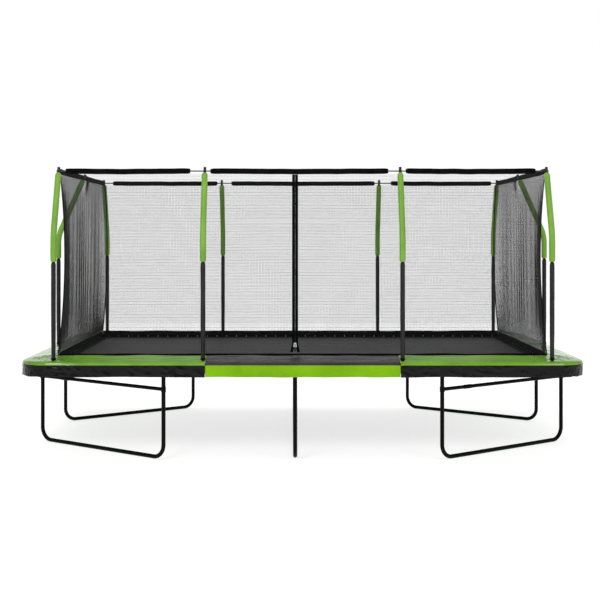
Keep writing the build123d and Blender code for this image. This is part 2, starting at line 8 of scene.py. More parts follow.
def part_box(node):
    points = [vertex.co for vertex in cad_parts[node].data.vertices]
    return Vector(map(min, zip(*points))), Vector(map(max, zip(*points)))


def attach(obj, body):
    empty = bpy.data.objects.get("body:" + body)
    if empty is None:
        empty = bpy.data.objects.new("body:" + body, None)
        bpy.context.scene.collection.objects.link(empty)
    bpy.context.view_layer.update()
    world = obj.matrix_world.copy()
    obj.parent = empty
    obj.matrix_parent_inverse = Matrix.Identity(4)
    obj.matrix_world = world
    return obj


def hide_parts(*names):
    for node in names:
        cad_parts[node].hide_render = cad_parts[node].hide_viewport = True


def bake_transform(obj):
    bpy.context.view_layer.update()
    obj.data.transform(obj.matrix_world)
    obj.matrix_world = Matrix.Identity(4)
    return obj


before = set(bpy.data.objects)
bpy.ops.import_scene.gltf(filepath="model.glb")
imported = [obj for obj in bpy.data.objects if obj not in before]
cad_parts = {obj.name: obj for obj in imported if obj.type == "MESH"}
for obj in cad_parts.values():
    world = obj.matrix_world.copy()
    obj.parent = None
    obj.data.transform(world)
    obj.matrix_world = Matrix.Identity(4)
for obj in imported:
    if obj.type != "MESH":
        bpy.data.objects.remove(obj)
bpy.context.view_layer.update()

# ---- Sizes in metres, read from the frame where it holds them
MAT_LOW, MAT_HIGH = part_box("mat")
MAT_Z = (MAT_LOW[2] + MAT_HIGH[2]) / 2
PAD_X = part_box("pad_front_right")[1][0]
PAD_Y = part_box("pad_back_right")[1][1]
PAD_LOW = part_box("pad_front_left")[0][2]
PAD_JOINT_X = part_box("pad_front_middle")[1][0]
CORNER_R = 0.300
RAIL_INNER_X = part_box("rail_right")[0][0]
RAIL_INNER_Y = -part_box("rail_front_left")[1][1]
MAT_EDGE = RAIL_INNER_Y - MAT_HIGH[1]  # from the rail's inner wall to the mat's edge
NET_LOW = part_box("net_back")[0][2]
NET_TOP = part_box("net_back")[1][2]
BORDER_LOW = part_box("net_border")[0][2]
BORDER_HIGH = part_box("net_border")[1][2]
BAND_HALF = 0.0015  # half the thickness of the band at the net's foot
NET_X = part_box("net_border")[1][0] - BAND_HALF
NET_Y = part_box("net_border")[1][1] - BAND_HALF
NET_TOP_X = 2.274  # the net walls' half lengths at the hems
NET_TOP_Y = 1.252
FLAP_WIDTH = 0.048  # the band's flap over the mat's edge
HEM_HALF = 0.009  # half the thickness of the hems round the top rods
ROD_Z = (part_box("net_hems")[0][2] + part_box("net_hems")[1][2]) / 2
RING_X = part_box("net_hems")[1][0] - HEM_HALF
RING_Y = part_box("net_hems")[1][1] - HEM_HALF
POLE_R = 0.016
POLE_BEND_Z = 2.050
POLE_BEND_R = 0.400
OUTER_POLE_X = 2.285  # where a long side's outer poles meet the net
FOAM_SLEEVE_R = 0.0282
CLOTH_SLEEVE_R = 0.0222
SLEEVE_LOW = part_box("fabric_sleeves")[0][2]
SLEEVE_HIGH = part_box("fabric_sleeves")[1][2]
BAY_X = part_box("pole_front_3")[1][0] - POLE_R
DOOR_X = -0.070
DOOR_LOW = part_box("zip_tape_left")[0][2]
TAPE_OUT = 0.014  # from the door's middle to the middle of a tape
DOOR_SPLIT_Z = 1.030  # the zip is open below this height
DOOR_SPREAD = 0.020  # how far each tape's foot stands aside where it is open
TAPE_TOP_Y = 1.232  # the tapes' tops, a little inside the net's
SPRING_PITCH = 0.114
V_RING_REACH = 0.025  # from the mat's edge to the V-rings' tips
BLEND_REACH = 1.2  # the mat's side stretches reach this far in from the rail, where the middle stretch starts

LONG_SIDES = ("front", "back")
SHORT_SIDES = ("left", "right")
SIDES = LONG_SIDES + SHORT_SIDES
OUTWARD = {"front": (0, -1, 0), "back": (0, 1, 0), "left": (-1, 0, 0), "right": (1, 0, 0)}


# ---- Camera, light and stage
def add_camera():
    """The camera stands level, a little above the middle of the net."""
    data = bpy.data.cameras.new("camera")
    data.sensor_width = 36.0
    data.lens = 66.35
    data.shift_x = 0.0139
    data.shift_y = -0.1097
    data.clip_end = 200
    camera = bpy.data.objects.new("camera", data)
    camera.location = (-0.102, -11.614, 2.061)
    camera.rotation_euler = (math.radians(90), 0, 0)
    bpy.context.scene.collection.objects.link(camera)
    bpy.context.scene.camera = camera


def area_light(name, place, target, size, power):
    """A large soft lamp that faces a point."""
    data = bpy.data.lights.new(name, "AREA")
    data.shape = "SQUARE"
    data.size = size
    data.energy = power
    lamp = bpy.data.objects.new(name, data)
    lamp.location = place
    way = Vector(target) - Vector(place)
    lamp.rotation_euler = way.to_track_quat("-Z", "Y").to_euler()
    bpy.context.scene.collection.objects.link(lamp)


def add_light():
    """A white surround with soft lamps above and in front."""
    world = bpy.data.worlds.new("studio")
    bpy.context.scene.world = world
    world.use_nodes = True
    shade = world.node_tree.nodes["Background"]
    shade.inputs["Color"].default_value = (0.98, 0.99, 1, 1)
    shade.inputs["Strength"].default_value = 0.42
    area_light("key", (-4.0, -9.0, 7.0), (0, 0, 1.0), 3.5, 330)
    area_light("fill", (5.5, -8.0, 5.0), (0, 0, 1.0), 3.5, 150)
    area_light("top", (0, 1.5, 8.5), (0, 0, 0.8), 6.0, 240)
    bpy.context.scene.view_settings.view_transform = "Standard"


def studio_sheet(name, corners, colour, glow):
    """A flat sheet of pale studio paper that glows a little."""
    mesh = bpy.data.meshes.new(name)
    mesh.from_pydata(corners, [], [(0, 1, 2, 3)])
    sheet = bpy.data.objects.new(name, mesh)
    bpy.context.scene.collection.objects.link(sheet)
    material, shader = new_material(name, (colour, colour, colour), 0.9)
    shader.inputs["Specular IOR Level"].default_value = 0.0
    shader.inputs["Emission Color"].default_value = (1, 1, 1, 1)
    shader.inputs["Emission Strength"].default_value = glow
    mesh.materials.append(material)


def add_studio():
    """A pale floor, and a white wall behind the object."""
    side = 60.0
    low = -0.0015
    far = 14.0
    high = 9.0
    half_wall = 16.0
    floor = [(-side, -side, low), (side, -side, low), (side, side, low), (-side, side, low)]
    studio_sheet("floor", floor, 0.60, 0.72)
    wall = [(-half_wall, far, low), (half_wall, far, low), (half_wall, far, high), (-half_wall, far, high)]
    studio_sheet("backdrop", wall, 0.20, 0.86)


# ---- Materials
def new_material(name, colour, roughness):
    """A material with one Principled shader, and that shader."""
    material = bpy.data.materials.new(name)
    material.use_nodes = True
    shader = material.node_tree.nodes["Principled BSDF"]
    shader.inputs["Base Color"].default_value = (*colour, 1)
    shader.inputs["Roughness"].default_value = roughness
    return material, shader


def texture(material, kind, stretch, **settings):
    """A texture fed by object coordinates; inputs and properties are set by name."""
    nodes = material.node_tree.nodes
    links = material.node_tree.links
    coordinates = nodes.new("ShaderNodeTexCoord")
    mapping = nodes.new("ShaderNodeMapping")
    mapping.inputs["Scale"].default_value = stretch
    links.new(coordinates.outputs["Object"], mapping.inputs["Vector"])
    node = nodes.new(kind)
    for key, value in settings.items():
        if key in node.inputs:
            node.inputs[key].default_value = value
        else:
            setattr(node, key, value)
    links.new(mapping.outputs["Vector"], node.inputs["Vector"])
    return node.outputs["Distance"] if kind == "ShaderNodeTexVoronoi" else node.outputs["Fac"]


def tint(material, shader, source, low, high, start=0.3, stop=0.7):
    """Base colour that runs between two colours with a texture."""
    ramp = material.node_tree.nodes.new("ShaderNodeValToRGB")
    ramp.color_ramp.elements[0].position = start
    ramp.color_ramp.elements[1].position = stop
    ramp.color_ramp.elements[0].color = (*low, 1)
    ramp.color_ramp.elements[1].color = (*high, 1)
    links = material.node_tree.links
    links.new(source, ramp.inputs["Fac"])
    links.new(ramp.outputs["Color"], shader.inputs["Base Color"])


def vary_roughness(material, shader, source, low, high):
    """Roughness that runs between two values with a texture."""
    node = material.node_tree.nodes.new("ShaderNodeMapRange")
    node.inputs["To Min"].default_value = low
    node.inputs["To Max"].default_value = high
    links = material.node_tree.links
    links.new(source, node.inputs["Value"])
    links.new(node.outputs["Result"], shader.inputs["Roughness"])


def bump(material, shader, layers):
    """Stacked bumps; each layer is a texture output, its depth in metres and its strength."""
    nodes = material.node_tree.nodes
    links = material.node_tree.links
    normal = None
    for source, depth, strength in layers:
        node = nodes.new("ShaderNodeBump")
        node.inputs["Distance"].default_value = depth
        node.inputs["Strength"].default_value = strength
        links.new(source, node.inputs["Height"])
        if normal:
            links.new(normal, node.inputs["Normal"])
        normal = node.outputs["Normal"]
    links.new(normal, shader.inputs["Normal"])


def powder_coat():
    """Black powder-coated steel tube, with a faint orange peel."""
    material, shader = new_material("powder_coat", (0.003, 0.003, 0.0035), 0.42)
    shader.inputs["Specular IOR Level"].default_value = 0.06
    dust = texture(material, "ShaderNodeTexNoise", (3, 3, 3), Scale=4.0, Detail=6.0)
    peel = texture(material, "ShaderNodeTexNoise", (1, 1, 1), Scale=420.0, Detail=2.0)
    tint(material, shader, dust, (0.0015, 0.0015, 0.0018), (0.004, 0.004, 0.0045))
    vary_roughness(material, shader, dust, 0.34, 0.52)
    bump(material, shader, [(peel, 0.0004, 0.35)])
    return material


def zinc():
    """Galvanised steel, with faint mottling."""
    material, shader = new_material("zinc", (0.62, 0.63, 0.65), 0.35)
    shader.inputs["Metallic"].default_value = 1.0
    spangle = texture(material, "ShaderNodeTexVoronoi", (1, 1, 1), Scale=160.0)
    tint(material, shader, spangle, (0.50, 0.51, 0.53), (0.74, 0.75, 0.77), 0.0, 0.8)
    scratch = texture(material, "ShaderNodeTexNoise", (1, 1, 1), Scale=300.0, Detail=3.0)
    vary_roughness(material, shader, scratch, 0.25, 0.45)
    bump(material, shader, [(scratch, 0.0003, 0.3)])
    return material


def polish_ends(material, shader, start, stop, roughness, specular):
    """Glossier cloth towards both ends of the object: past start metres from the middle, full at stop."""
    nodes = material.node_tree.nodes
    links = material.node_tree.links
    coordinates = nodes.new("ShaderNodeTexCoord")
    split = nodes.new("ShaderNodeSeparateXYZ")
    links.new(coordinates.outputs["Object"], split.inputs["Vector"])
    size = nodes.new("ShaderNodeMath")
    size.operation = "ABSOLUTE"
    links.new(split.outputs["X"], size.inputs[0])
    for socket, value in (("Roughness", roughness), ("Specular IOR Level", specular)):
        share = nodes.new("ShaderNodeMapRange")
        share.interpolation_type = "SMOOTHSTEP"
        share.inputs["From Min"].default_value = start
        share.inputs["From Max"].default_value = stop
        share.inputs["To Min"].default_value = shader.inputs[socket].default_value
        share.inputs["To Max"].default_value = value
        links.new(size.outputs["Value"], share.inputs["Value"])
        links.new(share.outputs["Result"], shader.inputs[socket])


def vinyl(name, low, high, specular, roughness=(0.28, 0.46), creases=0.5, shiny_ends=False):
    """Coated PVC cloth, with a fine weave under the coat and soft creases."""
    material, shader = new_material(name, high, roughness[0])
    shader.inputs["Specular IOR Level"].default_value = specular
    blotch = texture(material, "ShaderNodeTexNoise", (1, 1, 1), Scale=3.5, Detail=5.0)
    tint(material, shader, blotch, low, high, 0.35, 0.62)
    grain = texture(material, "ShaderNodeTexNoise", (1, 1, 1), Scale=600.0, Detail=2.0)
    warp = texture(material, "ShaderNodeTexWave", (1, 1, 0), Scale=120.0, Distortion=0.6)
    weft = texture(
        material, "ShaderNodeTexWave", (0, 0.3, 1), Scale=120.0, Distortion=0.6, bands_direction="Z"
    )
    crease = texture(
        material, "ShaderNodeTexNoise", (1, 1, 2.2), Scale=14.0, Detail=6.0, Distortion=1.2
    )
    if shiny_ends:
        polish_ends(material, shader, 2.02, 2.32, 0.08, 1.0)
    else:
        vary_roughness(material, shader, crease, *roughness)
    weave = 0.05 if shiny_ends else 0.25
    layers = [(crease, 0.010, creases), (warp, 0.0004, weave), (weft, 0.0004, weave), (grain, 0.0002, weave)]
    bump(material, shader, layers)
    return material


def webbing():
    """Black woven polyester webbing."""
    material, shader = new_material("webbing", (0.003, 0.003, 0.003), 0.80)
    shader.inputs["Specular IOR Level"].default_value = 0.03
    shader.inputs["Sheen Weight"].default_value = 0.01
    rib = texture(material, "ShaderNodeTexWave", (1, 1, 0), Scale=130.0, Distortion=0.8)
    cross = texture(material, "ShaderNodeTexWave", (0, 0, 1), Scale=160.0, bands_direction="Z")
    fold = texture(material, "ShaderNodeTexNoise", (1, 1, 1), Scale=16.0, Detail=4.0)
    # The fold noise that raises the cloth also sets its colour: the webbing is darker down in its folds and
    # lighter on their ridges, painted shade in the folds.
    tint(material, shader, fold, (0.0015, 0.0015, 0.0015), (0.005, 0.005, 0.005))
    bump(material, shader, [(fold, 0.006, 0.4), (rib, 0.0006, 0.5), (cross, 0.0006, 0.5)])
    return material


def net_yarn():
    """Black knitted polyethylene yarn."""
    material, shader = new_material("net_yarn", (0.02, 0.02, 0.02), 0.6)
    shader.inputs["Specular IOR Level"].default_value = 0.25
    faded = texture(material, "ShaderNodeTexNoise", (1, 1, 1), Scale=9.0, Detail=3.0)
    tint(material, shader, faded, (0.008, 0.008, 0.008), (0.024, 0.024, 0.024))
    knit = texture(material, "ShaderNodeTexWave", (1, 1, 1), Scale=220.0, bands_direction="DIAGONAL")
    bump(material, shader, [(knit, 0.0004, 0.6)])
    return material


def mat_cloth():
    """Tightly woven black polypropylene of the mat."""
    material, shader = new_material("mat_cloth", (0.03, 0.03, 0.032), 0.62)
    shader.inputs["Specular IOR Level"].default_value = 0.16
    warp = texture(material, "ShaderNodeTexWave", (1, 0, 0), Scale=170.0, Distortion=0.2)
    weft = texture(material, "ShaderNodeTexWave", (0, 1, 0), Scale=170.0, bands_direction="Y")
    worn = texture(material, "ShaderNodeTexNoise", (0.25, 2.5, 1), Scale=2.6, Detail=6.0)
    tint(material, shader, worn, (0.014, 0.014, 0.0145), (0.034, 0.034, 0.035))
    vary_roughness(material, shader, worn, 0.52, 0.70)
    bump(material, shader, [(warp, 0.0004, 0.4), (weft, 0.0004, 0.4)])
    return material


def plastic(name, colour, roughness=0.5):
    """Moulded plastic with a fine spark-eroded grain."""
    material, shader = new_material(name, colour, roughness)
    grain = texture(material, "ShaderNodeTexNoise", (1, 1, 1), Scale=900.0, Detail=2.0)
    shade = texture(material, "ShaderNodeTexNoise", (1, 1, 1), Scale=30.0, Detail=3.0)
    tint(material, shader, shade, tuple(c * 0.7 for c in colour), colour)
    bump(material, shader, [(grain, 0.0002, 0.4)])
    return material


# ---- Mesh helpers
def make_object(name, verts, faces, materials, smooth=True, indices=None):
    """A mesh object from plain arrays."""
    mesh = bpy.data.meshes.new(name)
    points = np.asarray(verts, float).reshape(-1, 3)
    mesh.from_pydata(points.tolist(), [], [tuple(int(k) for k in f) for f in faces])
    for material in materials:
        mesh.materials.append(material)
    if indices is not None:
        mesh.polygons.foreach_set("material_index", np.asarray(indices, np.int32))
    mesh.polygons.foreach_set("use_smooth", np.full(len(mesh.polygons), smooth))
    mesh.update()
    made = bpy.data.objects.new(name, mesh)
    bpy.context.scene.collection.objects.link(made)
    return made


def grid_faces(rows, columns, close_rows=False, close_columns=False):
    """Quads over a grid of points, wrapped round either way on request."""
    i = np.arange(rows if close_rows else rows - 1)[:, None]
    j = np.arange(columns if close_columns else columns - 1)[None, :]
    below = (i + 1) % rows
    beside = (j + 1) % columns
    corners = [i * columns + j, i * columns + beside, below * columns + beside, below * columns + j]
    return np.stack([c + 0 * i + 0 * j for c in corners], axis=-1).reshape(-1, 4).tolist()


def signed_volume(points, faces):
    """Six times the volume inside closed faces; negative where they face inwards."""
    total = 0.0
    for size in sorted({len(f) for f in faces}):
        group = np.array([f for f in faces if len(f) == size])
        first = points[group[:, 0]]
        for k in range(1, size - 1):
            total += np.sum(first * np.cross(points[group[:, k]], points[group[:, k + 1]]))
    return total


def merge(parts):
    """Joins closed (points, faces) pairs into one pair whose faces all look outwards."""
    verts = []
    faces = []
    count = 0
    for points, part_faces in parts:
        points = np.asarray(points, float).reshape(-1, 3)
        flip = signed_volume(points - points.mean(axis=0), part_faces) < 0
        for face in part_faces:
            shifted = [int(k) + count for k in face]
            faces.append(shifted[::-1] if flip else shifted)
        verts.append(points)
        count += len(points)
    return np.concatenate(verts), faces


def wobble(point, size, seed):
    """Smooth noise at a point, from -1 to 1, with features about size metres across."""
    x, y, z = point
    return noise.noise(Vector((x / size + seed * 7.31, y / size + seed * 3.17, z / size - seed * 5.77)))


def unit(vectors):
    """Vectors scaled to length one."""
    length = np.linalg.norm(vectors, axis=-1, keepdims=True)
    return vectors / np.maximum(length, 1e-9)


def tubes(lines, front, width, thick):
    """Diamond-section strands along rows of points, closed at both ends."""
    rows, steps = lines.shape[:2]
    way = np.gradient(lines, axis=1)
    front = unit(front + 0 * lines)
    side = unit(np.cross(front, way))
    half_width = side * width / 2
    half_thick = front * thick / 2
    ring = np.stack([half_width, half_thick, -half_width, -half_thick], axis=2)
    verts = (lines[:, :, None, :] + ring).reshape(-1, 3)
    base = (np.arange(rows)[:, None, None] * steps + np.arange(steps - 1)[None, :, None]) * 4
    k = np.arange(4)[None, None, :]
    a = base + k
    b = base + (k + 1) % 4
    quads = np.stack([a, b, b + 4, a + 4], axis=-1).reshape(-1, 4)
    first = np.arange(rows)[:, None] * steps * 4
    foot = first + np.array([3, 2, 1, 0])[None, :]
    head = first + (steps - 1) * 4 + np.array([0, 1, 2, 3])[None, :]
    return verts, np.concatenate([quads, foot, head]).tolist()


def wire(points, diameter):
    """A bent wire along a row of points."""
    line = np.asarray(points, float)[None]
    way = unit(np.gradient(line, axis=1))
    front = np.cross(way, (0.13, 0.21, 1.0))
    return tubes(line, front, diameter, diameter)


def strap(centre, front, width, thick):
    """A flat strap with rounded edges along a line of points."""
    way = np.gradient(centre, axis=0)
    front = unit(np.asarray(front, float) + 0 * centre)
    across = unit(np.cross(front, way))
    sides = 12
    angles = np.linspace(0, 2 * math.pi, sides, endpoint=False)
    wide = np.sign(np.cos(angles)) * np.abs(np.cos(angles)) ** 0.5 * width / 2
    deep = np.sin(angles) * thick / 2
    verts = centre[:, None] + across[:, None] * wide[None, :, None] + front[:, None] * deep[None, :, None]
    return closed_tube(verts)


def closed_tube(rings):
    """A tube through rings of points, with a face over each end."""
    steps, sides = rings.shape[:2]
    faces = grid_faces(steps, sides, close_columns=True)
    faces.append(list(range(sides - 1, -1, -1)))
    faces.append(list(range((steps - 1) * sides, steps * sides)))
    return rings.reshape(-1, 3), faces


def plate(top, thick):
    """A thin closed sheet: a grid of upper points, and the same grid lower down."""
    rows, columns = top.shape[:2]
    low = top - np.array((0, 0, thick))
    count = rows * columns
    upper = grid_faces(rows, columns)
    lower = [[k + count for k in face[::-1]] for face in upper]
    rim = list(range(columns)) + [i * columns + columns - 1 for i in range(1, rows)]
    rim += [(rows - 1) * columns + j for j in range(columns - 2, -1, -1)]
    rim += [i * columns for i in range(rows - 2, 0, -1)]
    walls = [[a, a + count, b + count, b] for a, b in zip(rim, rim[1:] + rim[:1])]
    return np.concatenate([top.reshape(-1, 3), low.reshape(-1, 3)]), upper + lower + walls


def box_points(low, high):
    """The points and faces of a box."""
    (x0, y0, z0), (x1, y1, z1) = low, high
    verts = [(x0, y0, z0), (x1, y0, z0), (x1, y1, z0), (x0, y1, z0)]
    verts += [(x0, y0, z1), (x1, y0, z1), (x1, y1, z1), (x0, y1, z1)]
    faces = [[3, 2, 1, 0], [4, 5, 6, 7], [0, 1, 5, 4], [1, 2, 6, 5], [2, 3, 7, 6], [3, 0, 4, 7]]
    return verts, faces


# ---- Nets
WALE_PITCH = 0.0070  # between the net's upright yarns
COURSE_PITCH = 0.0100  # between the yarns that tie them together
WALE_WIDTH = 0.00095
COURSE_WIDTH = 0.0004
THICK_COURSE = 3  # every third of them is a thick yarn
THICK_WIDTH = 0.0013
NET_BOW = 0.042  # how far the net's corners pull in at mid height
NET_TUCK = 0.013  # the net's top passes inside the poles' padded tops
NET_INTO_HEM = 0.008


def net_point(side, s, t):
    """Points of a net wall: s from -1 to 1 along it, t from 0 at its foot to 1 at its top."""
    long_side = side in LONG_SIDES
    half_low, half_top = (NET_X, NET_TOP_X) if long_side else (NET_Y, NET_TOP_Y)
    out_low, out_top = (NET_Y, NET_TOP_Y) if long_side else (NET_X, NET_TOP_X)
    slack = 4 * t * (1 - t)
    near_corner = np.exp(-(1 - np.abs(s)) * half_low / 0.30)
    place = s * half_low
    folds = 0.0007 * np.sin(41.0 * place + 3.0 * np.sin(5.0 * place))
    near_door = np.exp(-(((place - DOOR_X) / 0.30) ** 2)) * (side == "front")
    ripple = (0.0022 * np.sin(7.0 * place + 2.0 * t) + folds) * slack * (1 - near_corner) * (1 - near_door)
    poles = (-OUTER_POLE_X, -BAY_X, BAY_X, OUTER_POLE_X) if long_side else (0.0,)
    near_pole = sum(np.exp(-(((place - pole) / 0.14) ** 2)) for pole in poles)
    tuck = NET_TUCK * near_pole * np.clip((t - 0.91) / 0.06, 0, 1)
    out = out_low + (out_top - out_low) * t - NET_BOW * slack * near_corner + ripple - tuck
    out = out - near_door * t * (NET_TOP_Y - TAPE_TOP_Y)  # level with the zip tapes beside the door
    along = s * (half_low + (half_top - half_low) * t - 0.004 - NET_BOW * slack * np.abs(s) ** 6)
    z = NET_LOW + (NET_TOP + NET_INTO_HEM - NET_LOW) * t + 0 * along
    sign = sum(OUTWARD[side])
    return np.stack([along, sign * out, z] if long_side else [sign * out, along, z], axis=-1)


def net_piece(name, side, low, high, node, low_foot=0.0, high_foot=0.0):
    """A stretch of net wall between two places along it, made of its yarns.

    low_foot and high_foot move an edge's foot sideways, below the door's split.
    """
    half = NET_X if side in LONG_SIDES else NET_Y
    width = high - low
    height = NET_TOP - NET_LOW
    split = (DOOR_SPLIT_Z - NET_LOW) / height

    def place(u, t):
        spread = np.clip(1 - t / split, 0, 1)
        left = low + low_foot * spread
        right = high + high_foot * spread
        return net_point(side, (left + (right - left) * u) / half, t)

    wales = int(width / WALE_PITCH)
    courses = int(height / COURSE_PITCH)
    heights = np.append(np.linspace(0, 0.93, 18), (0.95, 0.97, 1.0))
    u, t = np.meshgrid(np.linspace(0, 1, wales), heights, indexing="ij")
    deep = (0.00103 + 0.00022 * (1 - t))[:, :, None]
    parts = [tubes(place(u, t), OUTWARD[side], WALE_WIDTH, deep)]
    steps = max(int(width / 0.07), 6)
    t, u = np.meshgrid(np.linspace(0.002, 0.998, courses), np.linspace(0, 1, steps), indexing="ij")
    t = t + 0.0022 * np.sin(4.3 * (low + width * u) + 3.0 * t) * np.sin(math.pi * t)
    thick = np.arange(courses) % THICK_COURSE == 0
    widths = np.where(thick, THICK_WIDTH, COURSE_WIDTH)[:, None, None]
    parts.append(tubes(place(u, t), OUTWARD[side], widths, 0.0006))
    verts, faces = merge(parts)
    made = make_object(name, verts, faces, [MATERIALS["net"]], smooth=False)
    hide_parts(node)
    return made


def add_nets():
    """The net walls in bays between the poles, with the door's two halves in the front's middle bay."""
    for side in LONG_SIDES:
        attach(net_piece(f"net_{side}_bay_left", side, -NET_X, -BAY_X, f"net_{side}"), "frame")
        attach(net_piece(f"net_{side}_bay_right", side, BAY_X, NET_X, f"net_{side}"), "frame")
    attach(net_piece("net_back_bay_middle", "back", -BAY_X, BAY_X, "net_back"), "frame")
    for side in SHORT_SIDES:
        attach(net_piece(f"net_{side}_bay_front", side, -NET_Y, 0, f"net_{side}"), "frame")
        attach(net_piece(f"net_{side}_bay_back", side, 0, NET_Y, f"net_{side}"), "frame")
    gap = 0.0285  # from the door's middle to each net half, across its tape
    edge = DOOR_X - gap
    left = net_piece("door_net_left", "front", -BAY_X, edge, "door_left", high_foot=-DOOR_SPREAD)
    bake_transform(left)
    edge = DOOR_X + gap
    right = net_piece("door_net_right", "front", edge, BAY_X, "door_right", low_foot=DOOR_SPREAD)
    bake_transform(right)


def add_corner_bindings():
    """A narrow strap sewn down each corner of the net."""
    width = 0.013
    for sx, column in ((-1, "left"), (1, "right")):
        for sy, row in ((-1, "front"), (1, "back")):
            t = np.linspace(0, 1, 40)
            along = net_point(row, np.full_like(t, sx), t)
            beside = net_point(column, np.full_like(t, sy), t)
            verts, faces = merge([strap((along + beside) / 2, (sx, sy, 0), width, 0.004)])
            made = make_object(f"net_binding_{row}_{column}", verts, faces, [MATERIALS["webbing"]])
            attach(made, "frame")


def border_side(side):
    """One side of the band at the net's foot: gathered cloth with a thicker hem along each edge."""
    long_side = side in LONG_SIDES
    half = NET_X if long_side else NET_Y
    out = NET_Y if long_side else NET_X
    sign = sum(OUTWARD[side])
    rows = 9
    places = np.linspace(-half + 0.003, half - 0.003, int(half / 0.010))
    verts = []
    for k in range(2 * rows):
        row = min(k, 2 * rows - 1 - k)
        share = row / (rows - 1)
        face = 1 if k < rows else -1
        thick = 0.0026 if row in (0, rows - 1) else 0.0016
        z = BORDER_LOW + (BORDER_HIGH - BORDER_LOW) * share
        for s in places:
            gather = 0.0035 * wobble((s, z * 0.4, out), 0.05, 3) * math.sin(math.pi * share)
            droop = 0.005 * wobble((s, 0, out), 0.35, 5) * share
            away = sign * (out + gather + face * thick)
            verts.append((s, away, z + droop) if long_side else (away, s, z + droop))
    steps = len(places)
    faces = grid_faces(2 * rows, steps, close_rows=True)
    faces.append([k * steps for k in range(2 * rows - 1, -1, -1)])
    faces.append([k * steps + steps - 1 for k in range(2 * rows)])
    return verts, faces


def border_flap(side):
    """The band's flap over the mat's edge on one side, cut at a slant at both corners."""
    half = NET_X if side in LONG_SIDES else NET_Y
    out = NET_Y if side in LONG_SIDES else NET_X
    low, high = BORDER_LOW + 0.0015, BORDER_LOW - 0.0020
    shares = np.linspace(-1, 1, int(half / 0.012))
    rows = []
    for inset in np.linspace(0.002, FLAP_WIDTH, 6):
        rise = 0.0012 * math.sin(math.pi * inset / FLAP_WIDTH)
        z = low + (high - low) * inset / FLAP_WIDTH + rise
        row = []
        for share in shares:
            along = share * (half - inset)
            away = sum(OUTWARD[side]) * (out - inset)
            ruffle = 0.0012 * wobble((along, inset, out), 0.04, 8) * inset / FLAP_WIDTH
            row.append((along, away, z + ruffle) if side in LONG_SIDES else (away, along, z + ruffle))
        rows.append(row)
    return plate(np.array(rows), 0.0012)


def add_border():
    """The solid band at the foot of the net, with a flap over the mat's edge."""
    verts, faces = merge([border_side(side) for side in SIDES] + [border_flap(side) for side in SIDES])
    made = make_object("net_border_band", verts, faces, [MATERIALS["webbing"]])
    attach(made, "frame")
    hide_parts("net_border")


def hem_spans():
    """The covered stretches of each rod, between the poles: side, start and end."""
    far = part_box("pole_front_4")[1][0] - POLE_R
    front = [(-far + 0.067, -BAY_X - 0.136), (-BAY_X + 0.052, BAY_X - 0.112), (BAY_X + 0.052, far - 0.104)]
    spans = [("front", low, high) for low, high in front]
    spans += [("back", -high, -low) for low, high in front]
    clear = 0.034
    for side in SHORT_SIDES:
        spans.append((side, clear - RING_Y, -clear))
        spans.append((side, clear, RING_Y - 0.052))
    return spans


def hem_tube(side, low, high, height):
    """A flat tube of cloth round a rod that sags a little between the poles."""
    sides = 14
    rings = []
    for s in np.linspace(low, high, int((high - low) / 0.018)):
        share = (s - low) / (high - low)
        sag = -0.004 * math.sin(math.pi * share) + 0.003 * wobble((s, 0, len(side)), 0.16, 2)
        pinch = 1 - 0.25 * math.exp(-min(s - low, high - s) / 0.012)
        ring = []
        for angle in np.linspace(0, 2 * math.pi, sides, endpoint=False):
            up = math.sin(angle) * height / 2 * pinch
            pleat = 1 + 0.22 * wobble((s, up, 1.0), 0.022, 4)
            out = math.copysign(abs(math.cos(angle)) ** 0.7, math.cos(angle)) * 0.0085 * pleat
            z = ROD_Z + up + sag
            if side in LONG_SIDES:
                ring.append((s, sum(OUTWARD[side]) * RING_Y + out, z))
            else:
                ring.append((sum(OUTWARD[side]) * RING_X + out, s, z))
        rings.append(ring)
    return closed_tube(np.array(rings))


def add_hems():
    """The net's top hems round the rods, with a gap at each pole."""
    height = 0.053
    spans = hem_spans()
    verts, faces = merge([hem_tube(side, low, high, height) for side, low, high in spans])
    made = make_object("top_hems", verts, faces, [MATERIALS["webbing"]])
    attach(made, "frame")
    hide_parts("net_hems")


# ---- Door
def tape_line(side, t):
    """The middle of a zip tape from its foot to its top; the two part below the slider."""
    z = DOOR_LOW + (NET_TOP - DOOR_LOW) * t
    y = -(NET_Y + (TAPE_TOP_Y - NET_Y) * (z - NET_LOW) / (NET_TOP - NET_LOW))
    spread = DOOR_SPREAD * np.clip((DOOR_SPLIT_Z - z) / (DOOR_SPLIT_Z - DOOR_LOW), 0, 1)
    return np.stack([DOOR_X + side * (TAPE_OUT + spread), y, z], axis=-1)


def add_door():
    """Two woven zip tapes with their rows of teeth."""
    width = 0.0268
    for side, column in ((-1, "left"), (1, "right")):
        centre = tape_line(side, np.linspace(0, 1, 120))
        verts, faces = merge([strap(centre, (0, -1, 0), width, 0.0026)])
        tape = make_object(f"zip_tape_cloth_{column}", verts, faces, [MATERIALS["webbing"]])
        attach(tape, f"door_{column}")
        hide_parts(f"zip_tape_{column}")
        teeth = add_teeth(side, column)


def add_teeth(side, column):
    """Moulded teeth along the tape's inner edge, one tape's between the other's."""
    pitch = 0.008
    count = int((NET_TOP - DOOR_LOW) / pitch)
    offset = 0.0 if side < 0 else 0.5
    size = np.array((0.0017, 0.0012, 0.0016))
    parts = []
    for number in range(count):
        middle = tape_line(side, np.array((number + offset) / count))
        middle = middle - np.array((side * 0.0120, 0.0020, 0))
        parts.append(box_points(middle - size, middle + size))
    verts, faces = merge(parts)
    teeth = make_object(f"zip_teeth_{column}", verts, faces, [MATERIALS["teeth"]], smooth=False)
    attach(teeth, f"door_{column}")
    return teeth


